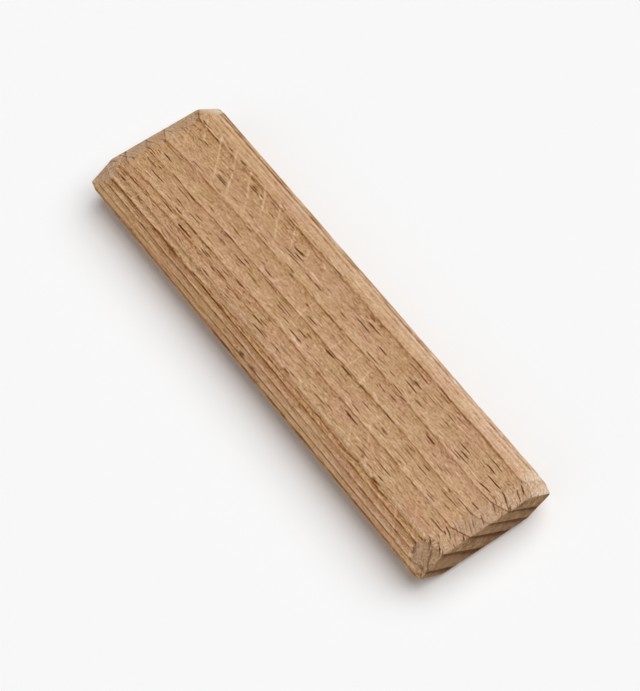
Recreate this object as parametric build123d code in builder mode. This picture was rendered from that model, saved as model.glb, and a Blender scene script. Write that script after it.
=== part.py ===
import os
from math import asin, cos
from build123d import *

# ---------------------------------------------------------------- driving sizes, mm and degrees
# body of the tenon
tenon_length = 80.0
tenon_width = 22.8  # across the half-round edges before they are fluted
tenon_thickness = 8.0

# flutes cut lengthwise round each half-round edge
flutes_per_edge = 9
flute_spacing_angle = 17.0  # between neighbouring flutes, about the edge's own axis
flute_width = 1.10
flute_depth = 0.22

# hipped chamfer at each end: six facets running out to a six-sided end face
end_face_width = 22.0  # between the two side tips
end_face_flat = 14.3  # straight top and bottom sides of the end face
end_face_height = 5.7
end_slope = 26.5  # between each facet and the tenon's length

# ---------------------------------------------------------------- sizes that follow from them
half_length = tenon_length / 2
mid_height = tenon_thickness / 2
edge_radius = tenon_thickness / 2
edge_axis_offset = tenon_width / 2 - edge_radius

# a round-nosed cutter that is flute_width across where it enters the half-round edge
flute_half_angle = asin(flute_width / 2 / edge_radius)
flute_floor_radius = edge_radius - flute_depth
flute_rise = edge_radius * cos(flute_half_angle) - flute_floor_radius
cutter_radius = ((flute_width / 2) ** 2 + flute_rise**2) / (2 * flute_rise)
cutter_offset = flute_floor_radius + cutter_radius
flute_span = (flutes_per_edge - 1) * flute_spacing_angle

# ---------------------------------------------------------------- the tenon
# section across the grain, centred at mid height; +Z out of it is the tenon's length
section_plane = Plane(origin=(0, 0, mid_height), x_dir=(0, 1, 0), z_dir=(1, 0, 0))
end_plane = section_plane.offset(half_length)

with BuildPart() as tenon:
    # half the length of the fluted bar
    with BuildSketch(section_plane) as bar_section:
        SlotOverall(tenon_width, tenon_thickness)
        with Locations((edge_axis_offset, 0)):
            with PolarLocations(
                cutter_offset,
                flutes_per_edge,
                start_angle=-flute_span / 2,
                angular_range=flute_span,
                endpoint=True,
            ):
                Circle(cutter_radius, mode=Mode.SUBTRACT)
        with Locations((-edge_axis_offset, 0)):
            with PolarLocations(
                cutter_offset,
                flutes_per_edge,
                start_angle=180 - flute_span / 2,
                angular_range=flute_span,
                endpoint=True,
            ):
                Circle(cutter_radius, mode=Mode.SUBTRACT)
    extrude(amount=half_length)

    # the end face grows inwards by the chamfer slope and leaves only what lies inside it
    with BuildSketch(end_plane) as end_face:
        with BuildLine() as end_outline:
            Polyline(
                (end_face_width / 2, 0),
                (end_face_flat / 2, end_face_height / 2),
                (-end_face_flat / 2, end_face_height / 2),
                (-end_face_width / 2, 0),
                (-end_face_flat / 2, -end_face_height / 2),
                (end_face_flat / 2, -end_face_height / 2),
                close=True,
            )
        make_face()
    extrude(amount=-half_length, taper=-end_slope, mode=Mode.INTERSECT)

    # the other half is the same, end for end
    mirror(about=Plane.YZ)

tenon.part.label = "tenon"

os.makedirs("parts", exist_ok=True)
export_step(tenon.part, "parts/tenon.step")
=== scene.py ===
from collections import namedtuple
from math import asin, cos, hypot, pi, radians, sin, tan

import bmesh
import bpy
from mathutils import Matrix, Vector, noise


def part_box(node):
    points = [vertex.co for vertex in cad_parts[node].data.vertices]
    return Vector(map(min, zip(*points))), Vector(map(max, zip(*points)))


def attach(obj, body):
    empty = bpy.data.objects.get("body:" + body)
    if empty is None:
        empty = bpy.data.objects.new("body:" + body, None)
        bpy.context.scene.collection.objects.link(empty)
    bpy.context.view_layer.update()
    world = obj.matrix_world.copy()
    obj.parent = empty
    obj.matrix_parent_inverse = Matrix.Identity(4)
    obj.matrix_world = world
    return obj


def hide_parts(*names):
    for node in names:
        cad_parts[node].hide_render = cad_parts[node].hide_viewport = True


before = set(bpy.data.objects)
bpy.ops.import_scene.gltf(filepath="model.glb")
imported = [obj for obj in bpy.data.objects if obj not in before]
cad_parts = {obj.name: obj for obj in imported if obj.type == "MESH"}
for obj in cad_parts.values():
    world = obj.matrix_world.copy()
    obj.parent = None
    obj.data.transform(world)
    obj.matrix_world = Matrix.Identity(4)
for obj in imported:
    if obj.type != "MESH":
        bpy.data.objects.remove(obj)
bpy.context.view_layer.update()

bl_info = {
    "name": "Loose tenon",
    "version": (1, 0, 0),
    "blender": (4, 5, 0),
    "location": "View3D > Sidebar > Loose tenon",
    "description": "Makes a fluted beech loose tenon and a plain stage for it",
    "category": "Add Mesh",
}

tenon_low, tenon_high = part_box("tenon")
half_length = (tenon_high.x - tenon_low.x) / 2
edge_radius = (tenon_high.z - tenon_low.z) / 2
mm = 0.001


# -------- what a user may change


def length(name, description, default):
    """A property for a size in metres."""
    return bpy.props.FloatProperty(name=name, description=description, default=default, min=0, unit="LENGTH")


def angle(name, description, default):
    """A property for an angle, given in degrees."""
    turn = radians(default)
    return bpy.props.FloatProperty(name=name, description=description, default=turn, subtype="ANGLE")


def amount(name, description, default, unit="NONE"):
    """A property for a plain number."""
    return bpy.props.FloatProperty(name=name, description=description, default=default, min=0, unit=unit)


def colour(name, description, default):
    """A property for a linear colour."""
    return bpy.props.FloatVectorProperty(
        name=name, description=description, default=default, subtype="COLOR", size=3, min=0, max=1
    )


class TenonSizes(bpy.types.PropertyGroup):
    """Sizes of the tenon that aren't the frame's, and how worn it is."""

    width: length("Width", "Across the half-round edges before they are fluted", 22.8 * mm)
    flutes_per_edge: bpy.props.IntProperty(
        name="Flutes per edge", description="Lengthwise flutes round each half-round edge", default=9, min=1
    )
    flute_spacing: angle("Flute spacing", "Between neighbouring flutes, about the edge's own axis", 17)
    flute_width: length("Flute width", "Across the mouth of one flute", 1.10 * mm)
    flute_depth: length("Flute depth", "From the half-round edge to the flute's floor", 0.22 * mm)
    end_face_width: length("End face width", "Between the two side tips of the end face", 22.0 * mm)
    end_face_flat: length("End face flat", "Straight top and bottom sides of the end face", 14.3 * mm)
    end_face_height: length("End face height", "Height of the end face", 5.7 * mm)
    end_slope: angle("End slope", "Between each chamfer facet and the tenon's length", 26.5)
    edge_wear: length("Edge wear", "How far the chamfers' edges are rubbed back", 0.06 * mm)
    unevenness: length("Unevenness", "How far the planed faces dip below true", 0.04 * mm)
    torn_grain: length("Torn grain", "How far the ridges between the flutes are torn back", 0.07 * mm)


class BeechColours(bpy.types.PropertyGroup):
    """Colours of the beech, from its palest wood to its darkest."""

    # palest: pale torn wood, and the painted highlights where the grain stands up
    palest: colour("Palest", "Wood torn up so that it catches the light", (0.78, 0.58, 0.40))
    pale: colour("Early wood", "Pale wood, just outside a ring's edge", (0.675, 0.431, 0.256))
    body: colour("Body", "The usual colour of the beech", (0.512, 0.306, 0.155))
    deep: colour("Late wood", "Dark wood at a ring's edge", (0.312, 0.148, 0.051))
    fleck: colour("Ray flecks", "Dark dashes where rays are cut", (0.200, 0.058, 0.006))
    end_grain: colour("End grain", "Greyer wood on the sawn ends", (0.50, 0.315, 0.19))
    rust: colour("Rust", "Red-brown stains on the edges", (0.135, 0.03, 0.002))
    smudge: colour("Smudge", "Brown smudges beside the flutes", (0.22, 0.10, 0.03))


class StageSettings(bpy.types.PropertyGroup):
    """The floor, the lamps and where the camera stands."""

    floor: colour("Floor", "Colour of the floor", (0.947, 0.950, 0.953))
    floor_reach: length("Floor reach", "From the floor's middle to each of its edges", 3.0)
    lamp: amount("Lamp", "Strength of the soft overhead lamp", 2.80)
    lamp_spread: angle("Lamp spread", "How wide the lamp looks from the floor", 72)
    lamp_lean: angle("Lamp lean", "How far the lamp leans off the vertical, over the far side", 25)
    lamp_turn: angle("Lamp turn", "How far the lamp is turned about the vertical", -5)
    fill: amount("Fill lamp", "Strength of the weaker lamp on the other side", 0.63)
    fill_spread: angle("Fill lamp spread", "How wide the fill lamp looks from the floor", 60)
    fill_lean: angle("Fill lamp lean", "How far the fill lamp leans off the vertical, over the near side", 50)
    room: amount("Room light", "Even light from all round", 0.05)
    lens: amount("Lens", "Camera's focal length, in millimetres", 147.5, unit="CAMERA")
    distance: length("Camera distance", "From the tenon's middle to the camera", 400.6 * mm)
    azimuth: angle("Azimuth", "Camera's turn about the tenon", 54.15)
    elevation: angle("Elevation", "Camera's height above the floor", 58.54)
    aside: length("Camera aside", "How far right of the tenon's middle the camera looks", 0.934 * mm)
    drop: length("Camera drop", "How far below the tenon's middle the camera looks", 1.831 * mm)


# -------- the tenon's mesh


# steps round the section: on both sides of an edge's flutes, round one flute, over one ridge, across a flat
LEAD_STEPS = 4
FLUTE_STEPS = 8
RIDGE_STEPS = 1
FLAT_STEPS = 60

# steps along the tenon: the shortest at the rims, short where the chamfers are, and long between them
RIM_STEPS = [0.05 * mm, 0.05 * mm, 0.1 * mm]
CHAMFER_STEPS = [0.12 * mm] * 34
LONG_STEP = 0.6 * mm

# rings of an end face: how far in from its rim each one lies, as a share of the way to the spine
END_FACE_RINGS = (0.015, 0.035, 0.07, 0.14, 0.25, 0.4, 0.6, 0.8, 1.0)

# corners closer than this are one
MERGE_GAP = 1e-7

# values kept at each corner: on a sawn face, on an end face, and the share above
LAYERS = ("sawn", "end", "share")

# crushed spots, in mm: the middle, with its height from the foot, how far round it and how deep
Dent = namedtuple("Dent", "middle size depth")
DENTS = (
    Dent((39.3, -10.0, 4.6), size=2.0, depth=0.40),
    Dent((38.6, -7.6, 6.6), size=1.1, depth=0.18),
    Dent((39.6, 3.2, 6.6), size=0.9, depth=0.15),
    Dent((-39.3, 9.6, 4.8), size=1.5, depth=0.25),
)


def held(value, low=0.0, high=1.0):
    """The value, held between low and high."""
    return max(low, min(high, value))


def rounded_least(first, second, soft):
    """The lesser of two lengths, eased where they are nearly equal."""
    near = max(soft - abs(first - second), 0) / soft
    return min(first, second) - near * near * soft / 4


def axis_offset(sizes):
    """From the tenon's middle to the axis of each half-round edge, which is also half the flat's width."""
    return sizes.width / 2 - edge_radius


def arc_from(bm, point, centre, turn, steps):
    """Draws an arc from point about a line along X and returns the arc's last point."""
    along_x = (1, 0, 0)
    arc = bmesh.ops.spin(bm, geom=[point], cent=centre, axis=along_x, angle=turn, steps=steps)
    return next(item for item in arc["geom_last"] if isinstance(item, bmesh.types.BMVert))


def line_from(bm, point, run, steps):
    """Draws a straight line from point in equal steps and returns its last point."""
    for _ in range(steps):
        point = bmesh.ops.extrude_vert_indiv(bm, verts=[point])["verts"][0]
        point.co += Vector(run) / steps
    return point


def fluted_edge_from(bm, point, axis, first_angle, sizes):
    """Draws one half-round edge with its flutes, half a turn about its axis."""
    half_mouth = asin(sizes.flute_width / 2 / edge_radius)
    floor_radius = edge_radius - sizes.flute_depth
    rise = edge_radius * cos(half_mouth) - floor_radius
    cutter_radius = ((sizes.flute_width / 2) ** 2 + rise**2) / (2 * rise)
    cutter_offset = floor_radius + cutter_radius
    cutter_sweep = 2 * asin(sizes.flute_width / 2 / cutter_radius)
    span = (sizes.flutes_per_edge - 1) * sizes.flute_spacing
    lead = pi / 2 - span / 2 - half_mouth
    ridge = sizes.flute_spacing - 2 * half_mouth
    point = arc_from(bm, point, axis, lead, LEAD_STEPS)
    for index in range(sizes.flutes_per_edge):
        middle = first_angle + pi / 2 - span / 2 + index * sizes.flute_spacing
        cutter = axis + Vector((0, cutter_offset * cos(middle), cutter_offset * sin(middle)))
        point = arc_from(bm, point, cutter, -cutter_sweep, FLUTE_STEPS)
        if index < sizes.flutes_per_edge - 1:
            point = arc_from(bm, point, axis, ridge, RIDGE_STEPS)
    return arc_from(bm, point, axis, lead, LEAD_STEPS)


def section_ring(bm, x, sizes):
    """Draws the fluted section at x: half-round edges joined by the flat top and bottom."""
    offset = axis_offset(sizes)
    flat = Vector((0, 2 * offset, 0))
    start = bm.verts.new((x, offset, 0))
    point = fluted_edge_from(bm, start, Vector((x, offset, edge_radius)), -pi / 2, sizes)
    point = line_from(bm, point, -flat, FLAT_STEPS)
    point = fluted_edge_from(bm, point, Vector((x, -offset, edge_radius)), pi / 2, sizes)
    line_from(bm, point, flat, FLAT_STEPS)
    bmesh.ops.remove_doubles(bm, verts=bm.verts[:], dist=MERGE_GAP)
    return bm.edges[:]


def pushed_ring(bm, ring, step):
    """Extrudes a ring by step and returns the new ring and its corners."""
    made = bmesh.ops.extrude_edge_only(bm, edges=ring)["geom"]
    corners = [item for item in made if isinstance(item, bmesh.types.BMVert)]
    bmesh.ops.translate(bm, verts=corners, vec=(step, 0, 0))
    return [item for item in made if isinstance(item, bmesh.types.BMEdge) and item.is_boundary], corners


def ring_steps():
    """Steps between rings along X, from one end of the tenon to the other."""
    end_steps = RIM_STEPS + CHAMFER_STEPS
    middle = 2 * (half_length - sum(end_steps))
    count = round(middle / LONG_STEP)
    return end_steps + [middle / count] * count + end_steps[::-1]


def end_walls(sizes):
    """The six facets where they meet the end face: their direction, as y and z, and how far out they lie."""
    half_height = sizes.end_face_height / 2
    tip = sizes.end_face_width / 2
    corner_run = tip - sizes.end_face_flat / 2
    corner_length = hypot(half_height, corner_run)
    corner_y, corner_z = half_height / corner_length, corner_run / corner_length
    walls = [(0, 1, half_height), (0, -1, half_height)]
    for sign_y in (1, -1):
        for sign_z in (1, -1):
            walls.append((sign_y * corner_y, sign_z * corner_z, tip * corner_y))
    return walls


def spared(at_near_end, wall_y, wall_z):
    """How much less deep one facet is cut than the others, as no two chamfers are quite alike."""
    if at_near_end and wall_z < 0:
        return 0.25 * mm
    if wall_y > 0:
        return (0.15 if at_near_end else 0.4) * mm
    if wall_y < 0 and not at_near_end:
        return 0.2 * mm
    return 0.0


def facets_ahead(walls, ray, spine_y, at_near_end, spread):
    """How far along a ray from the spine the facets lie that it heads for.

    Spread is how much farther out the facets have come than where they meet the end face.
    """
    least_toward = 0.05
    for wall_y, wall_z, wall_reach in walls:
        toward = ray.y * wall_y + ray.z * wall_z
        if toward > least_toward:
            yield (wall_reach + spared(at_near_end, wall_y, wall_z) + spread - spine_y * wall_y) / toward


def wear_at(at, sizes):
    """How far an edge is rubbed back at a place in mm."""
    rough = noise.noise(at * 1.1) + 0.6 * noise.noise(at * 2.9)
    return sizes.edge_wear * (1.0 + 1.2 * max(0.0, rough))


def dip_at(at, on_ridge, sizes):
    """How far the surface lies below true at a place in mm: shallow dips, torn ridges and crushed spots."""
    deep = sizes.unevenness * (0.5 + 0.5 * noise.noise(Vector((at.x / 9, at.y / 3, at.z / 3))))
    tear = max(0.0, noise.noise(Vector((at.x / 1.6, at.y * 1.3, at.z * 1.3))))
    deep += sizes.torn_grain * on_ridge * tear
    for dent in DENTS:
        gap = (at - Vector(dent.middle)).length / dent.size
        if gap < 1:
            crumble = max(0.0, 0.35 + noise.noise(at * 1.7) + 0.5 * noise.noise(at * 4.1))
            deep += dent.depth * mm * (1 - gap * gap) * crumble
    return deep


def shape_and_weather(bm, sizes):
    """Pulls every corner of the mesh in along its ray from the spine: to the end facets, and then by wear.

    Layer "sawn" becomes 1 on the chamfers and the end faces, and layer "end" becomes 1 on the end faces.
    """
    sawn, end, share = (bm.verts.layers.float[name] for name in LAYERS)
    sawn_border = 0.6 * mm
    offset = axis_offset(sizes)
    walls = end_walls(sizes)
    slope = tan(sizes.end_slope)
    for vert in bm.verts:
        at = vert.co / mm
        toward_end = 1 if vert.co.x > 0 else -1
        spine_y = held(vert.co.y, -offset, offset)
        ray = Vector((0, vert.co.y - spine_y, vert.co.z - edge_radius))
        free = ray.length
        ray.normalize()
        wear = wear_at(at, sizes)

        # the chamfers' facets, with their edges rubbed round
        left = half_length - abs(vert.co.x)
        facets = list(facets_ahead(walls, ray, spine_y, toward_end > 0, left * slope))
        reach = free
        for facet in facets:
            reach = rounded_least(reach, facet, soft=4 * wear)
        vert[sawn] = held(0.5 + (free - min(facets)) / sawn_border)

        # the end faces' own rings lie a share of the way in, and their rim is rubbed back on both sides
        kept = 1 - vert[share]
        from_rim = left
        if kept < 1.0:
            from_rim = (1 - kept) * reach
            vert[end] = 1.0
            vert[sawn] = 1.0
        rub = max(0.0, 1 - from_rim / (3 * wear)) ** 2 * wear

        on_ridge = 0.0
        if abs(vert.co.y) > offset:
            on_ridge = held(1 - (edge_radius - free) / sizes.flute_depth)
        reach = max((reach - dip_at(at, on_ridge, sizes)) * kept - rub * 0.5, 0.0)
        vert.co.x -= rub * 0.9 * toward_end
        vert.co.y = spine_y + ray.y * reach
        vert.co.z = edge_radius + ray.z * reach


def tenon_mesh(sizes):
    """The finished tenon as a mesh: a section pushed along X, closed by rings that shrink to the spine."""
    bm = bmesh.new()
    for name in LAYERS:
        bm.verts.layers.float.new(name)
    share_layer = bm.verts.layers.float["share"]
    first_ring = section_ring(bm, -half_length, sizes)
    last_ring = first_ring
    for step in ring_steps():
        last_ring, _ = pushed_ring(bm, last_ring, step)
    for ring in (first_ring, last_ring):
        for share in END_FACE_RINGS:
            ring, corners = pushed_ring(bm, ring, 0)
            for corner in corners:
                corner[share_layer] = share
    shape_and_weather(bm, sizes)
    bmesh.ops.remove_doubles(bm, verts=bm.verts[:], dist=MERGE_GAP)
    bmesh.ops.recalc_face_normals(bm, faces=bm.faces[:])
    for face in bm.faces:
        face.smooth = True
    mesh = bpy.data.meshes.new("beech_tenon")
    bm.to_mesh(mesh)
    bm.free()
    return mesh


# -------- shader wiring


class Wiring:
    """Places shader nodes in one tree and links them."""

    def __init__(self, tree):
        self.tree = tree

    def node(self, kind, **settings):
        """A new node with the settings given."""
        made = self.tree.nodes.new(kind)
        for name, value in settings.items():
            setattr(made, name, value)
        return made

    def feed(self, socket, value):
        """Links a socket to another, or gives it a plain value."""
        if isinstance(value, bpy.types.NodeSocket):
            self.tree.links.new(value, socket)
        elif value is not None:
            socket.default_value = value

    def math(self, operation, first, second=None):
        """One Math node."""
        made = self.node("ShaderNodeMath", operation=operation)
        self.feed(made.inputs[0], first)
        self.feed(made.inputs[1], second)
        return made.outputs[0]

    def plus(self, first, second):
        """First and second together."""
        return self.math("ADD", first, second)

    def minus(self, first, second):
        """First less second."""
        return self.math("SUBTRACT", first, second)

    def times(self, first, *others):
        """The product of all the values given."""
        for other in others:
            first = self.math("MULTIPLY", first, other)
        return first

    def strongest(self, first, *others):
        """The greatest of all the values given."""
        for other in others:
            first = self.math("MAXIMUM", first, other)
        return first

    def outside(self, mask):
        """Where a mask isn't."""
        return self.minus(1.0, mask)

    def push(self, value, source, strength):
        """The value, moved up or down by a source that lies about 0.5."""
        return self.plus(value, self.times(self.minus(source, 0.5), strength))

    def vector(self, operation, first, second=None, output=0):
        """One Vector Math node. Its second output is a plain number."""
        made = self.node("ShaderNodeVectorMath", operation=operation)
        self.feed(made.inputs[0], first)
        self.feed(made.inputs[1], second)
        return made.outputs[output]

    def parts(self, vector):
        """A vector's three parts."""
        made = self.node("ShaderNodeSeparateXYZ")
        self.feed(made.inputs[0], vector)
        return tuple(made.outputs)

    def join(self, *parts):
        """A vector from its three parts."""
        made = self.node("ShaderNodeCombineXYZ")
        for socket, value in zip(made.inputs, parts):
            self.feed(socket, value)
        return made.outputs[0]

    def noise(self, at, scale, detail=2.0, roughness=0.5):
        """Noise from 0 to 1, with its scale given along each axis, per millimetre."""
        made = self.node("ShaderNodeTexNoise", noise_dimensions="3D")
        self.feed(made.inputs["Vector"], self.vector("MULTIPLY", at, scale))
        made.inputs["Scale"].default_value = 1.0
        made.inputs["Detail"].default_value = detail
        made.inputs["Roughness"].default_value = roughness
        return made.outputs["Fac"]

    def noise_colour(self, at, scale):
        """Three noises at once, each about 0.5."""
        made = self.node("ShaderNodeTexNoise", noise_dimensions="3D")
        self.feed(made.inputs["Vector"], at)
        made.inputs["Scale"].default_value = scale
        return made.outputs["Color"]

    def between(self, value, low, high, to_low=0.0, to_high=1.0, smooth=True):
        """The value's place between low and high, turned into the range given and held to it."""
        easing = "SMOOTHSTEP" if smooth else "LINEAR"
        made = self.node("ShaderNodeMapRange", interpolation_type=easing, clamp=True)
        for socket, given in zip(made.inputs, (value, low, high, to_low, to_high)):
            self.feed(socket, given)
        return made.outputs[0]

    def band(self, value, middle, outer, inner):
        """1 where the value is within inner of the middle, fading to 0 at outer."""
        return self.between(self.math("ABSOLUTE", self.minus(value, middle)), outer, inner)

    def ramp(self, value, stops):
        """A colour ramp with stops of (place, colour)."""
        made = self.node("ShaderNodeValToRGB")
        elements = made.color_ramp.elements
        while len(elements) < len(stops):
            elements.new(0.5)
        for element, (place, shade) in zip(elements, stops):
            element.position = place
            element.color = (*shade, 1)
        self.feed(made.inputs[0], value)
        return made.outputs[0]

    def grey_ramp(self, value, stops):
        """A ramp of plain values with stops of (place, value)."""
        return self.ramp(value, [(place, (shade, shade, shade)) for place, shade in stops])

    def blend(self, factor, under, shade, how="MIX"):
        """Lays a plain colour over another, as far as the factor says."""
        made = self.node("ShaderNodeMix", data_type="RGBA", blend_type=how)
        factor_socket, under_socket, over_socket = made.inputs[0], made.inputs[6], made.inputs[7]
        self.feed(factor_socket, factor)
        self.feed(under_socket, under)
        self.feed(over_socket, (*shade, 1))
        return made.outputs[2]


def new_group(name, inputs, outputs):
    """An empty shader node group. Its inputs are (name, kind, default) and its outputs (name, kind)."""
    group = bpy.data.node_groups.new(name, "ShaderNodeTree")
    for title, kind, default in inputs:
        socket = group.interface.new_socket(name=title, in_out="INPUT", socket_type=kind)
        if default is not None:
            socket.default_value = default
    for title, kind in outputs:
        group.interface.new_socket(name=title, in_out="OUTPUT", socket_type=kind)
    wires = Wiring(group)
    return group, wires, wires.node("NodeGroupInput").outputs, wires.node("NodeGroupOutput").inputs


def ray_fleck_group():
    """Rays as thin upright blades, one to a cell.

    Vector, cell and ray are in mm: along the grain, across the rays, and along the rays.
    """
    group, w, given, out = new_group(
        "Ray flecks",
        [
            ("Vector", "NodeSocketVector", None),
            ("Cell", "NodeSocketVector", (4.5, 1.6, 9.0)),
            ("Ray", "NodeSocketVector", (1.4, 0.13, 4.0)),
            ("Share", "NodeSocketFloat", 0.7),
        ],
        [("Mask", "NodeSocketFloat"), ("Chance", "NodeSocketFloat")],
    )
    cell = w.node("ShaderNodeTexVoronoi", voronoi_dimensions="3D", feature="F1")
    cell.inputs["Scale"].default_value = 1.0
    cell.inputs["Randomness"].default_value = 0.8
    scaled = w.vector("DIVIDE", given["Vector"], given["Cell"])
    w.feed(cell.inputs["Vector"], scaled)
    off = w.vector("MULTIPLY", w.vector("SUBTRACT", scaled, cell.outputs["Position"]), given["Cell"])
    chance, longer, thicker = w.parts(cell.outputs["Color"])
    along, beside, up = w.parts(w.vector("DIVIDE", off, given["Ray"]))
    along = w.math("DIVIDE", along, w.plus(w.times(longer, 0.9), 0.45))
    beside = w.math("DIVIDE", w.math("ABSOLUTE", beside), w.plus(w.times(thicker, 0.8), 0.6))
    taper = w.minus(1.0, w.math("POWER", w.math("ABSOLUTE", along), 3.5))
    taper = w.minus(taper, w.times(up, up))
    blade = w.between(w.minus(taper, beside), 0.0, 0.4)
    w.feed(out["Mask"], w.times(blade, w.math("LESS_THAN", chance, given["Share"])))
    w.feed(out["Chance"], thicker)
    return group


# -------- the beech


# ring edges outward from the heart, in mm from the tenon's middle: years of unequal growth
RING_EDGES = (-9.7, -7.9, -5.65, -2.45, 0.42, 2.6, 4.62, 7.9, 10.6)

# how far out on both sides years are counted, and the most that are counted
RING_REACH = 12.0
MOST_YEARS = 10

# the way outward from the heart rises by 51 degrees through the section: that angle's cosine and sine
OUTWARD_ACROSS = 0.63
OUTWARD_UP = 0.777

# layers of rays: how far a layer is shifted, the size of a cell and of its ray in mm, and the share of cells
# that hold one; all sizes are along the grain, across the rays, and along the rays
Rays = namedtuple("Rays", "shift cell ray share")
FACE_RAYS = Rays((0, 0, 0), cell=(4.8, 0.95, 3.5), ray=(1.45, 0.070, 2.3), share=0.60)
MORE_FACE_RAYS = Rays((31.7, 8.3, 5.1), cell=(4.0, 1.05, 3.1), ray=(1.2, 0.064, 2.1), share=0.60)
CHAMFER_RAYS = Rays((3.3, 7.7, 1.9), cell=(1.6, 0.9, 2.4), ray=(0.8, 0.09, 1.5), share=0.8)
LONG_CHAMFER_RAYS = Rays((7.1, 2.2, 4.4), cell=(3.0, 1.9, 5.0), ray=(2.2, 0.055, 2.6), share=0.85)
CORNER_RAYS = Rays((5.5, 1.1, 9.9), cell=(1.2, 0.75, 2.4), ray=(1.3, 0.085, 1.9), share=0.9)
SHORT_RAYS = Rays((12.1, 3.9, 14.2), cell=(2.2, 0.5, 2.0), ray=(0.9, 0.06, 1.2), share=0.75)

# stains, in mm from the tenon's middle
Stain = namedtuple("Stain", "middle half_length half_width strength colour")
STAIN_DEPTH = 0.6


def stains(colours):
    """Every stain on the tenon."""
    rust = tuple(colours.rust)
    smudge = tuple(colours.smudge)
    red = (0.30, 0.05, 0.03)
    flush = (0.50, 0.23, 0.14)
    dark = (0.11, 0.04, 0.01)
    return (
        # two fringes low on the near edge
        Stain((-2.1, -11.0, 1.6), 2.0, 0.6, 0.85, rust),
        Stain((0.5, -11.0, 1.5), 1.7, 0.5, 0.75, rust),
        # a red spot where the near flutes begin, and its tail
        Stain((22.1, -7.7, 4.0), 0.35, 0.25, 0.8, red),
        Stain((23.7, -7.7, 4.0), 1.3, 0.14, 0.7, rust),
        # two smudges beside the near flutes
        Stain((-10.9, -7.2, 4.0), 1.0, 0.3, 0.5, smudge),
        Stain((-7.4, -7.2, 4.0), 0.9, 0.25, 0.45, smudge),
        # a rusty line and a broad flush by the near corner, and a dark patch on the end face
        Stain((36.2, -9.6, 3.4), 1.2, 0.35, 0.6, rust),
        Stain((33.5, -7.0, 4.0), 4.5, 1.5, 0.25, flush),
        Stain((40.0, 6.2, 2.4), 1.2, 1.5, 0.6, dark),
    )


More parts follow.
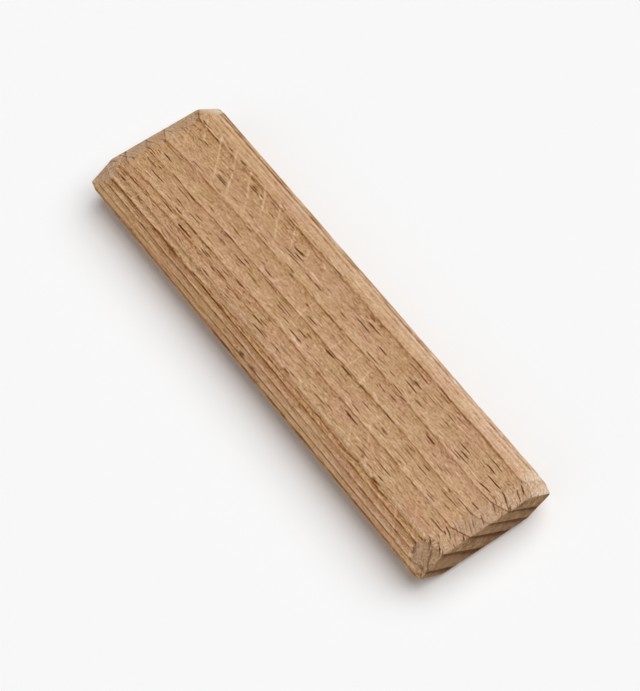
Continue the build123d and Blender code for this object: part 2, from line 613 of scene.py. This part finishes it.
class BeechWiring(Wiring):
    """Beech as solid wood, so that each face shows the grain as it cuts it.

    Places are in mm from the tenon's middle: x along the grain, with the near end at +x; y across it, with
    the near side at -y; and z up. Aside is how far a point is from the tenon's middle line. Tone runs from 0
    for the darkest wood to 1 for the palest.
    """

    def marked(self, name):
        """A value kept at the mesh's corners."""
        return self.node("ShaderNodeAttribute", attribute_name=name).outputs["Fac"]

    def fibres(self, scale, detail=2.0, roughness=0.5):
        """Noise drawn out along the grain."""
        return self.noise(self.grain, scale, detail, roughness)

    def patches(self, scale, detail=2.0, roughness=0.5):
        """Noise that has nothing to do with the grain."""
        return self.noise(self.place, scale, detail, roughness)

    def by_end(self, far, near):
        """One value on the far half of the tenon and another on the near half."""
        return self.between(self.near_end, 0.0, 1.0, far, near)

    def darker(self, *masks):
        """Darkens the tone by the product of the masks."""
        self.tone = self.minus(self.tone, self.times(*masks))

    def paler(self, *masks):
        """Lightens the tone by the product of the masks."""
        self.tone = self.plus(self.tone, self.times(*masks))

    def vary(self, source, *masks):
        """Moves the tone up or down by a noise, as far as the masks say."""
        self.tone = self.push(self.tone, source, self.times(*masks))

    def tint(self, shade, *masks):
        """Multiplies the wood's colour by a shade inside the masks."""
        self.wood = self.blend(self.times(*masks), self.wood, shade, "MULTIPLY")

    def find_faces(self, sizes):
        """Where a point is, and which of the tenon's faces it lies on."""
        placed = self.node("ShaderNodeTexCoord").outputs["Object"]
        self.x, self.y, above = self.parts(self.vector("MULTIPLY", placed, (1 / mm, 1 / mm, 1 / mm)))
        self.z = self.minus(above, edge_radius / mm)
        self.place = self.join(self.x, self.y, self.z)
        self.aside = self.math("ABSOLUTE", self.y)
        self.half_flat = axis_offset(sizes) / mm
        self.near_end = self.between(self.x, -1.0, 1.0)
        self.far_side = self.between(self.y, -1.0, 1.0)
        self.near_side = self.outside(self.far_side)
        self.upper_face = self.between(self.z, 3.0, 3.6)
        self.toward_foot = self.between(self.z, 2.5, -3.0)

        # the sawn faces' borders are frayed
        fray = self.minus(self.patches((0.9, 2.2, 2.2), detail=3.0, roughness=0.65), 0.5)
        self.sawn = self.between(self.plus(self.marked("sawn"), self.times(fray, 1.1)), 0.36, 0.64)
        self.along = self.outside(self.sawn)
        self.end_face = self.marked("end")
        facets = self.minus(self.sawn, self.end_face)
        less_on_far_side = self.between(self.y, self.half_flat + 1.0, self.half_flat + 2.2, 1.0, 0.35)
        self.chamfer = self.times(facets, less_on_far_side)
        self.corner = self.times(self.chamfer, self.near_end, self.between(self.y, -6.9, -7.5))

        # the corner facets are plainer than the rest, but for those of the crushed corner
        crushed = self.times(self.near_end, self.between(self.y, 0.5, -0.5))
        past_flat = self.between(self.aside, self.half_flat - 0.2, self.half_flat + 0.8)
        self.plain_corner = self.times(self.outside(crushed), past_flat, facets)

    def find_grain(self):
        """How far outward from the heart a point is: the rings sweep along the tenon and waver a little."""
        sweep_start = 37.0
        sweep = self.math("DIVIDE", self.minus(sweep_start, self.x), 2 * sweep_start)
        bent = self.plus(self.y, self.times(sweep, sweep, self.between(self.y, 4.5, 6.5, 1.75, 0.90)))
        bent = self.push(bent, self.patches((0.05, 0.10, 0.10), detail=1.0), 0.8)
        bent = self.push(bent, self.patches((0.3, 0.5, 0.5)), 0.40)
        across = self.minus(self.times(bent, OUTWARD_UP), self.times(self.z, OUTWARD_ACROSS))
        outward = self.plus(self.times(bent, OUTWARD_ACROSS), self.times(self.z, OUTWARD_UP))
        ragged = self.times(self.minus(self.patches((1.3, 4.0, 4.0)), 0.5), 0.14)
        self.outward = self.plus(outward, ragged)
        self.grain = self.join(self.x, across, self.outward)
        self.warm = self.between(self.outward, -1.6, -3.2)

        # the rays bow a little along the tenon
        bow = 0.0004
        bowed = self.minus(across, self.times(self.x, self.x, bow))
        self.ray_grain = self.join(self.x, bowed, self.outward)

    def count_years(self):
        """Years outward from the heart, with their ring edges at whole numbers."""
        curve = self.node("ShaderNodeFloatCurve")
        points = curve.mapping.curves[0].points
        for index, edge in enumerate(RING_EDGES):
            spot = ((edge + RING_REACH) / (2 * RING_REACH), index / MOST_YEARS)
            if index < 2:
                points[index].location = spot
            else:
                points.new(*spot)
        for point in points:
            point.handle_type = "VECTOR"
        curve.mapping.update()
        reached = self.math("DIVIDE", self.plus(self.outward, RING_REACH), 2 * RING_REACH)
        self.feed(curve.inputs["Value"], reached)
        return self.times(curve.outputs[0], float(MOST_YEARS))

    def grow_rings(self):
        """The tone of the seasons, with a broken dark line at each ring's edge."""
        year = self.count_years()
        self.season = self.math("FRACT", year)
        year_look = self.node("ShaderNodeTexWhiteNoise", noise_dimensions="1D")
        self.feed(year_look.inputs["W"], self.plus(self.math("FLOOR", year), 3.3))
        self.year_blush, self.year_tint, _ = self.parts(year_look.outputs["Color"])
        early = [(0.0, 0.68), (0.06, 0.72), (0.25, 0.65)]
        late = [(0.6, 0.62), (0.8, 0.60), (0.97, 0.52), (1.0, 0.52)]
        self.tone = self.grey_ramp(self.season, early + late)
        starts = self.between(self.season, 0.93, 0.965)
        self.ring_line = self.times(starts, self.between(self.season, 1.0, 0.99))
        broken = self.between(self.fibres((0.45, 1.2, 1.2)), 0.36, 0.60, 0.25, 1.0)
        self.darker(self.ring_line, broken, self.outside(self.plain_corner), 0.23)
        self.paler(self.plain_corner, 0.05)
        self.paler(self.warm, 0.07)

        # a false ring, only on the far half
        false_ring = self.band(self.outward, -0.58, 0.18, 0.04)
        self.darker(false_ring, self.between(self.x, -2.0, -22.0), self.along, 0.26)

    def lay_fibres(self):
        """Fibres, from long streaks to short torn ones, with fine pores, and painted highlights where the
        grain stands up.
        """
        self.long_streaks = self.fibres((0.12, 2.2, 2.2), detail=3.0, roughness=0.65)
        self.streaks = self.fibres((0.6, 4.2, 4.2), roughness=0.6)
        self.fine_streaks = self.fibres((1.3, 6.0, 6.0), roughness=0.6)
        self.grit = self.fibres((3.0, 6.5, 6.5), detail=1.0, roughness=0.6)
        cloud = self.patches((0.10, 0.35, 0.35))
        pores = self.between(self.fibres((0.8, 6.5, 6.5), detail=1.0), 0.35, 0.27)
        raised_grain_highlight = self.between(self.fibres((0.45, 5.0, 5.0), detail=1.0), 0.60, 0.72)
        self.vary(self.long_streaks, 0.26)
        self.vary(self.streaks, 0.34)
        self.vary(self.fine_streaks, 0.60)
        self.vary(self.grit, 0.68)
        self.vary(cloud, 0.14)
        self.darker(pores, 0.26)
        # painted highlight where the grain stands up
        self.paler(raised_grain_highlight, 0.22)

    def ray_layer(self, flecks, rays):
        """One layer of rays, each a little fainter or stronger than the next."""
        made = self.node("ShaderNodeGroup", node_tree=flecks)
        self.feed(made.inputs["Vector"], self.vector("ADD", self.ray_grain, rays.shift))
        made.inputs["Cell"].default_value = rays.cell
        made.inputs["Ray"].default_value = rays.ray
        made.inputs["Share"].default_value = rays.share
        return self.times(made.outputs["Mask"], self.plus(self.times(made.outputs["Chance"], 0.7), 0.3))

    def cut_rays(self):
        """Rays: dark dashes on the broad faces and the chamfers, and many short faint ones between them."""
        flecks = ray_fleck_group()
        on_faces = self.strongest(self.ray_layer(flecks, FACE_RAYS), self.ray_layer(flecks, MORE_FACE_RAYS))
        on_chamfers = self.times(self.ray_layer(flecks, CHAMFER_RAYS), self.by_end(far=0.10, near=0.85))
        longer = self.times(self.ray_layer(flecks, LONG_CHAMFER_RAYS), self.by_end(far=0.55, near=0.0))
        on_corner = self.ray_layer(flecks, CORNER_RAYS)
        short = self.ray_layer(flecks, SHORT_RAYS)

        # few of the faces' rays show on the end faces and the fluted edges
        near_edge = self.between(self.y, -8.8, -9.6, 1.0, 0.15)
        far_edge = self.between(self.y, 7.3, 8.0, 1.0, 0.15)
        broad = self.times(self.outside(self.times(self.end_face, 0.8)), near_edge, far_edge)
        self.rays = self.strongest(
            self.times(on_faces, broad),
            self.times(on_chamfers, self.chamfer),
            self.times(longer, self.chamfer),
            self.times(on_corner, self.corner, 1.1),
        )
        self.darker(short, broad, 0.32)
        self.darker(self.rays, 1.0)

    def saw_ends(self):
        """Sawn faces show pores as specks, and the late wood of each year as a dark wedge."""
        self.specks = self.fibres((2.0, 5.0, 5.0), detail=3.0, roughness=0.7)
        late = self.plus(self.season, self.times(self.toward_foot, 0.13))
        wedge = [(0.0, 0.5), (0.04, 0.0), (0.40, 0.0), (0.65, 0.2), (0.82, 0.55), (0.90, 0.95), (1.0, 1.0)]
        self.wedge = self.strongest(self.grey_ramp(late, wedge), self.between(self.season, 0.06, 0.0))
        hairs = self.fibres((0.3, 4.5, 0.8), roughness=0.6)
        blotches = self.patches((0.6, 0.7, 0.7), detail=1.0)
        splinters = self.patches((3.4, 0.7, 3.0), detail=1.0)
        torn_rim = self.between(self.plus(self.z, self.times(self.specks, 1.2)), 2.75, 3.1)
        self.vary(self.specks, self.sawn, self.by_end(far=0.1, near=1.25))
        self.paler(self.chamfer, self.by_end(far=-0.03, near=0.045))
        self.paler(self.end_face, torn_rim, 0.25)
        self.vary(hairs, self.end_face, 2.3)
        self.vary(blotches, self.end_face, 0.8)
        self.vary(splinters, self.corner, 1.2)
        on_flat = self.between(self.aside, self.half_flat, self.half_flat - 1.0)
        self.darker(self.ring_line, self.chamfer, on_flat, self.by_end(far=0.10, near=0.22))
        self.paler(self.sawn, self.outside(self.end_face), 0.05)

    def flute_edges(self, sizes):
        """The fluted edges: painted shade beside each ridge, paler flanks, and a thin line by the far flutes.

        Turn counts flutes up or down from the middle one. Beyond is how far a point is past the edge's axis.
        """
        beyond = self.minus(self.aside, self.half_flat)
        height = self.math("ABSOLUTE", self.z)
        self.turn = self.math("DIVIDE", self.math("ARCTAN2", height, beyond), sizes.flute_spacing)
        past_axis = self.between(beyond, 0.2, 0.9)
        self.flank = self.times(past_axis, self.along)
        self.near_flank = self.times(self.flank, self.near_side)
        self.far_flank = self.times(past_axis, self.far_side, self.outside(self.end_face))
        low = self.between(self.turn, 2.0, 1.7)
        self.outermost = self.times(self.far_side, self.between(self.turn, 3.45, 3.25))

        # where the painted shade lies from one flute to the next, how wide it is, and how it comes and goes
        middle = self.between(self.y, -1.0, 1.0, 0.46, 0.68)
        middle = self.plus(middle, self.times(low, self.near_side, -0.18))
        reach = self.plus(self.strongest(self.times(low, 0.14), self.times(self.outermost, 0.06)), 0.16)
        line = self.band(self.math("FRACT", self.turn), middle, reach, 0.04)
        broken = self.between(self.patches((0.25, 0.8, 0.8)), 0.35, 0.6, 0.45, 1.0)
        near_crease_shade = self.between(self.turn, 3.8, 4.2, 0.44, 0.12)
        near_crease_shade = self.times(near_crease_shade, self.between(self.x, -38.0, 36.0, 1.18, 0.80, smooth=False))
        near_crease_shade = self.plus(near_crease_shade, self.times(low, self.between(self.x, -24.0, -18.0, 0.0, 0.24)))
        far_crease_shade = self.between(self.turn, 3.45, 3.25, 0.17, 0.40)
        far_crease_shade = self.times(far_crease_shade, self.between(self.x, -38.0, 36.0, 1.35, 0.65, smooth=False))
        by_side = self.plus(self.times(self.near_side, near_crease_shade), self.times(self.far_side, far_crease_shade))
        # painted shade: a dark line beside each flute's ridge
        self.darker(line, self.flank, broken, by_side)

        # painted fill light: the near flank paler where it faces sideways
        self.paler(self.near_flank, self.between(self.turn, 2.9, 0.5, 0.02, 0.26))
        shoulder = self.band(self.turn, 3.78, 0.30, 0.12)
        self.darker(shoulder, self.near_side, self.along, self.between(self.x, -12.0, -4.0), 0.07)
        self.paler(self.far_flank, self.between(self.turn, 2.3, 2.6, 0.18, 0.12))
        ripples = self.patches((0.35, 4.5, 4.5), detail=3.0, roughness=0.6)
        self.vary(ripples, self.near_flank, self.between(self.turn, 4.5, 2.0, 0.4, 1.3))
        self.vary(ripples, self.far_flank, 0.5)
        self.vary(self.grit, self.near_flank, 0.15)

        rim = self.band(self.push(self.y, self.long_streaks, 0.5), self.half_flat + 0.02, 0.15, 0.03)
        broken = self.between(self.patches((0.22, 0.3, 0.3)), 0.42, 0.65, 0.0, 0.22)
        self.darker(rim, self.along, self.upper_face, broken)

    def lines_every(self, spacing, distance, waver):
        """Counts wavering lines, set at a spacing along a distance. Each has its middle at 0.5."""
        counted = self.math("DIVIDE", distance, spacing)
        counted = self.push(counted, self.patches((0.15, 0.15, 0.15), detail=1.0), waver)
        return self.math("FRACT", counted)

    def leave_cutter_marks(self):
        """The cutter's slanting ridges on part of the broad faces, and faint lines straight across them."""
        diagonal = self.plus(self.plus(self.x, self.y), 1.55)
        slanting = self.band(self.lines_every(3.7, diagonal, waver=0.5), 0.5, 0.095, 0.015)
        far_half = self.times(self.between(self.x, 2.0, -12.0), self.between(self.y, 0.0, 4.5))
        far_half = self.times(far_half, self.between(self.y, 7.9, 7.2))
        near_patch = self.times(self.between(self.x, 13.0, 18.0), self.between(self.y, -2.5, -4.5), 0.6)
        kept = self.between(self.patches((0.35, 0.35, 0.35), detail=1.0), 0.34, 0.52)
        self.cutter_ridge = self.times(slanting, self.strongest(far_half, near_patch), self.along, kept)
        self.paler(self.cutter_ridge, 0.21)

        lengthwise = self.plus(self.x, self.times(self.y, 0.12))
        straight = self.band(self.lines_every(3.6, lengthwise, waver=0.8), 0.5, 0.05, 0.015)
        stretch = self.band(self.x, 5.0, 9.5, 8.0)
        mid_face = self.between(self.aside, 2.6, 1.4)
        self.paler(straight, self.along, stretch, mid_face, self.upper_face, 0.13)

    def colour_wood(self, colours):
        """Turns the tone into colour, and tints it by year, by end and by face."""
        shades = (colours.fleck, colours.deep, colours.body, colours.pale, colours.palest)
        fleck, deep, body, pale, palest = (tuple(shade) for shade in shades)
        darkest = tuple(0.5 * part for part in fleck)
        stops = [(0.0, darkest), (0.14, fleck), (0.36, deep), (0.60, body), (0.86, pale), (1.0, palest)]
        self.wood = self.ramp(self.tone, stops)

        # along the grain: warmer towards the far end, rosier in patches
        toward_near = self.between(self.x, -30.0, 30.0, smooth=False)
        rosy = self.between(self.patches((0.12, 0.3, 0.3)), 0.42, 0.62)
        self.tint((1.0, 0.94, 0.86), self.warm, self.along)
        self.tint((1.015, 1.03, 1.06), toward_near, self.along)
        self.tint((0.985, 0.975, 0.95), self.outside(toward_near), self.along)
        self.tint((1.0, 0.965, 1.03), rosy, self.along)

        # sawn faces: greyer, by year
        greyed = self.between(self.year_tint, 0.3, 0.7, 0.1, 0.5)
        greyed = self.times(self.sawn, greyed, self.outside(self.times(self.plain_corner, 0.75)))
        self.wood = self.blend(greyed, self.wood, tuple(colours.end_grain))
        far_end = self.outside(self.near_end)
        self.tint((0.98, 1.03, 1.14), self.chamfer, far_end, self.between(self.year_blush, 0.2, 0.8))
        self.tint((1.0, 1.01, 1.07), self.chamfer, self.near_end)
        self.tint((0.91, 0.87, 0.80), self.corner)

        # fluted edges: pale on the far side, warm and painted with light on the near side
        # partly warmer wood and partly painted warm bounce light, where the near edge faces sideways
        self.tint((1.0, 0.93, 0.80), self.near_flank, self.between(self.turn, 2.6, 1.4))
        self.tint((1.01, 1.05, 1.09), self.far_flank, self.between(self.turn, 4.3, 3.4))
        self.tint((1.05, 1.09, 1.16), self.outermost, self.far_flank)
        # painted light: warm bounce on each near flute's shaded upper wall, cool light on its lit lower wall
        shaded_upper_wall = self.math("COSINE", self.times(self.minus(self.turn, 0.25), 2 * pi))
        shaded_upper_wall = self.times(self.between(shaded_upper_wall, -1.0, 1.0, smooth=False), self.near_flank)
        self.tint((1.01, 0.97, 0.86), shaded_upper_wall)
        self.tint((0.99, 1.01, 1.08), self.minus(self.near_flank, shaded_upper_wall))

        # end faces: browner, most of all towards the foot and in the late wood's wedges
        self.tint((0.80, 0.73, 0.58), self.end_face)
        self.tint((0.84, 0.82, 0.78), self.end_face, self.toward_foot)
        self.tint((0.40, 0.25, 0.11), self.end_face, self.wedge)

    def stain_wood(self, colours):
        """Small stains with ragged outlines."""
        centred = self.vector("SUBTRACT", self.noise_colour(self.place, 1.2), (0.5, 0.5, 0.5))
        wobbled = self.vector("ADD", self.place, self.vector("MULTIPLY", centred, (1.2, 1.0, 1.0)))
        for stain in stains(colours):
            offset = self.vector("SUBTRACT", wobbled, stain.middle)
            spread = (stain.half_length, stain.half_width, STAIN_DEPTH)
            gap = self.vector("LENGTH", self.vector("DIVIDE", offset, spread), output=1)
            inside = self.times(self.between(gap, 1.0, 0.3), stain.strength)
            self.wood = self.blend(inside, self.wood, stain.colour)

    def relief(self):
        """How far the surface stands up, in mm: sunken rays, streaks, specks and the cutter's ridges."""
        height = self.times(self.rays, -0.03)
        height = self.push(height, self.grit, 0.06)
        height = self.push(height, self.fine_streaks, 0.05)
        height = self.push(height, self.streaks, 0.05)
        height = self.push(height, self.specks, self.times(self.sawn, 0.12))
        return self.plus(height, self.times(self.cutter_ridge, 0.04))

    def finish_surface(self):
        """Bare wood, a little smoother where it is pale."""
        shader = self.node("ShaderNodeBsdfPrincipled")
        self.feed(shader.inputs["Base Color"], self.wood)
        shader.inputs["IOR"].default_value = 1.45
        shader.inputs["Specular IOR Level"].default_value = 0.15
        self.feed(shader.inputs["Roughness"], self.between(self.tone, 0.2, 0.8, 0.74, 0.60, smooth=False))
        bump = self.node("ShaderNodeBump")
        bump.inputs["Strength"].default_value = 1.0
        bump.inputs["Distance"].default_value = mm
        self.feed(bump.inputs["Height"], self.relief())
        self.feed(shader.inputs["Normal"], bump.outputs["Normal"])
        output = self.node("ShaderNodeOutputMaterial")
        self.feed(output.inputs["Surface"], shader.outputs["BSDF"])


def beech(colours, sizes):
    """Bare planed beech."""
    material = bpy.data.materials.new("beech")
    material.use_nodes = True
    material.node_tree.nodes.clear()
    wiring = BeechWiring(material.node_tree)
    wiring.find_faces(sizes)
    wiring.find_grain()
    wiring.grow_rings()
    wiring.lay_fibres()
    wiring.cut_rays()
    wiring.saw_ends()
    wiring.flute_edges(sizes)
    wiring.leave_cutter_marks()
    wiring.colour_wood(colours)
    wiring.stain_wood(colours)
    wiring.finish_surface()
    return material


# -------- the stage


def new_object(scene, name, data):
    """A new object in the scene."""
    made = bpy.data.objects.new(name, data)
    scene.collection.objects.link(made)
    return made


def pale_floor(shade):
    """A matt floor material."""
    material = bpy.data.materials.new("pale_floor")
    material.use_nodes = True
    shader = material.node_tree.nodes["Principled BSDF"]
    shader.inputs["Base Color"].default_value = (*shade, 1)
    shader.inputs["Roughness"].default_value = 0.9
    shader.inputs["Specular IOR Level"].default_value = 0.1
    return material


def lay_floor(scene, stage):
    """The floor that the tenon lies on."""
    bm = bmesh.new()
    bmesh.ops.create_grid(bm, x_segments=1, y_segments=1, size=stage.floor_reach)
    mesh = bpy.data.meshes.new("floor")
    bm.to_mesh(mesh)
    bm.free()
    mesh.materials.append(pale_floor(tuple(stage.floor)))
    floor = new_object(scene, "floor", mesh)


def hang_lamp(scene, name, strength, spread, turned):
    """A broad, distant lamp."""
    lamp = bpy.data.lights.new(name, "SUN")
    lamp.energy = strength
    lamp.angle = spread
    new_object(scene, name, lamp).rotation_euler = turned


def light_room(scene, stage):
    """Even white light from all round."""
    world = bpy.data.worlds.new("room")
    world.use_nodes = True
    sky = world.node_tree.nodes["Background"]
    sky.inputs["Color"].default_value = (1, 1, 1, 1)
    sky.inputs["Strength"].default_value = stage.room
    scene.world = world


def stand_camera(scene, stage):
    """The camera, turned about the tenon's middle and looking a little aside from it."""
    camera = bpy.data.cameras.new("camera")
    camera.lens = stage.lens
    camera.sensor_width = 36
    camera.clip_start = 0.01
    camera.clip_end = 10
    turn, rise = stage.azimuth, stage.elevation
    back = Vector((sin(turn) * cos(rise), -cos(turn) * cos(rise), sin(rise)))
    right = Vector((cos(turn), sin(turn), 0))
    up = back.cross(right)
    middle = (tenon_low + tenon_high) / 2
    holder = new_object(scene, "camera", camera)
    holder.location = middle + back * stage.distance + right * stage.aside - up * stage.drop
    holder.rotation_mode = "QUATERNION"
    holder.rotation_quaternion = (-back).to_track_quat("-Z", "Y")
    scene.camera = holder


# -------- operators


class MakeTenon(bpy.types.Operator):
    """Makes the beech tenon, which stands for the plain solid."""

    bl_idname = "loose_tenon.make_tenon"
    bl_label = "Make tenon"
    bl_options = {"REGISTER", "UNDO"}

    def execute(self, context):
        scene = context.scene
        tenon = new_object(scene, "beech_tenon", tenon_mesh(scene.tenon_sizes))
        tenon.data.materials.append(beech(scene.beech_colours, scene.tenon_sizes))
        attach(tenon, "root")
        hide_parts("tenon")
        return {"FINISHED"}


class MakeStage(bpy.types.Operator):
    """Makes the floor, the lamps and the camera."""

    bl_idname = "loose_tenon.make_stage"
    bl_label = "Make stage"
    bl_options = {"REGISTER", "UNDO"}

    def execute(self, context):
        scene = context.scene
        stage = scene.stage_settings
        lay_floor(scene, stage)
        overhead = (-stage.lamp_lean, 0, stage.lamp_turn)
        hang_lamp(scene, "overhead_lamp", stage.lamp, stage.lamp_spread, overhead)
        hang_lamp(scene, "fill_lamp", stage.fill, stage.fill_spread, (stage.fill_lean, 0, 0))
        light_room(scene, stage)
        stand_camera(scene, stage)
        scene.view_settings.view_transform = "Standard"
        return {"FINISHED"}


class TenonPanel(bpy.types.Panel):
    """Lists the sizes, the colours, the stage's settings and both operators."""

    bl_idname = "VIEW3D_PT_loose_tenon"
    bl_label = "Loose tenon"
    bl_space_type = "VIEW_3D"
    bl_region_type = "UI"
    bl_category = "Loose tenon"

    def draw(self, context):
        layout = self.layout
        scene = context.scene
        for group in (scene.tenon_sizes, scene.beech_colours, scene.stage_settings):
            box = layout.box()
            for name in group.__annotations__:
                box.prop(group, name)
        layout.operator(MakeTenon.bl_idname)
        layout.operator(MakeStage.bl_idname)


classes = (TenonSizes, BeechColours, StageSettings, MakeTenon, MakeStage, TenonPanel)


def register():
    """Adds the classes and their settings to Blender."""
    for cls in classes:
        bpy.utils.register_class(cls)
    bpy.types.Scene.tenon_sizes = bpy.props.PointerProperty(type=TenonSizes)
    bpy.types.Scene.beech_colours = bpy.props.PointerProperty(type=BeechColours)
    bpy.types.Scene.stage_settings = bpy.props.PointerProperty(type=StageSettings)


def unregister():
    """Takes them out again."""
    del bpy.types.Scene.stage_settings
    del bpy.types.Scene.beech_colours
    del bpy.types.Scene.tenon_sizes
    for cls in reversed(classes):
        bpy.utils.unregister_class(cls)


def main():
    """Makes everything."""
    register()
    bpy.ops.loose_tenon.make_tenon()
    bpy.ops.loose_tenon.make_stage()


if __name__ == "__main__":
    main()
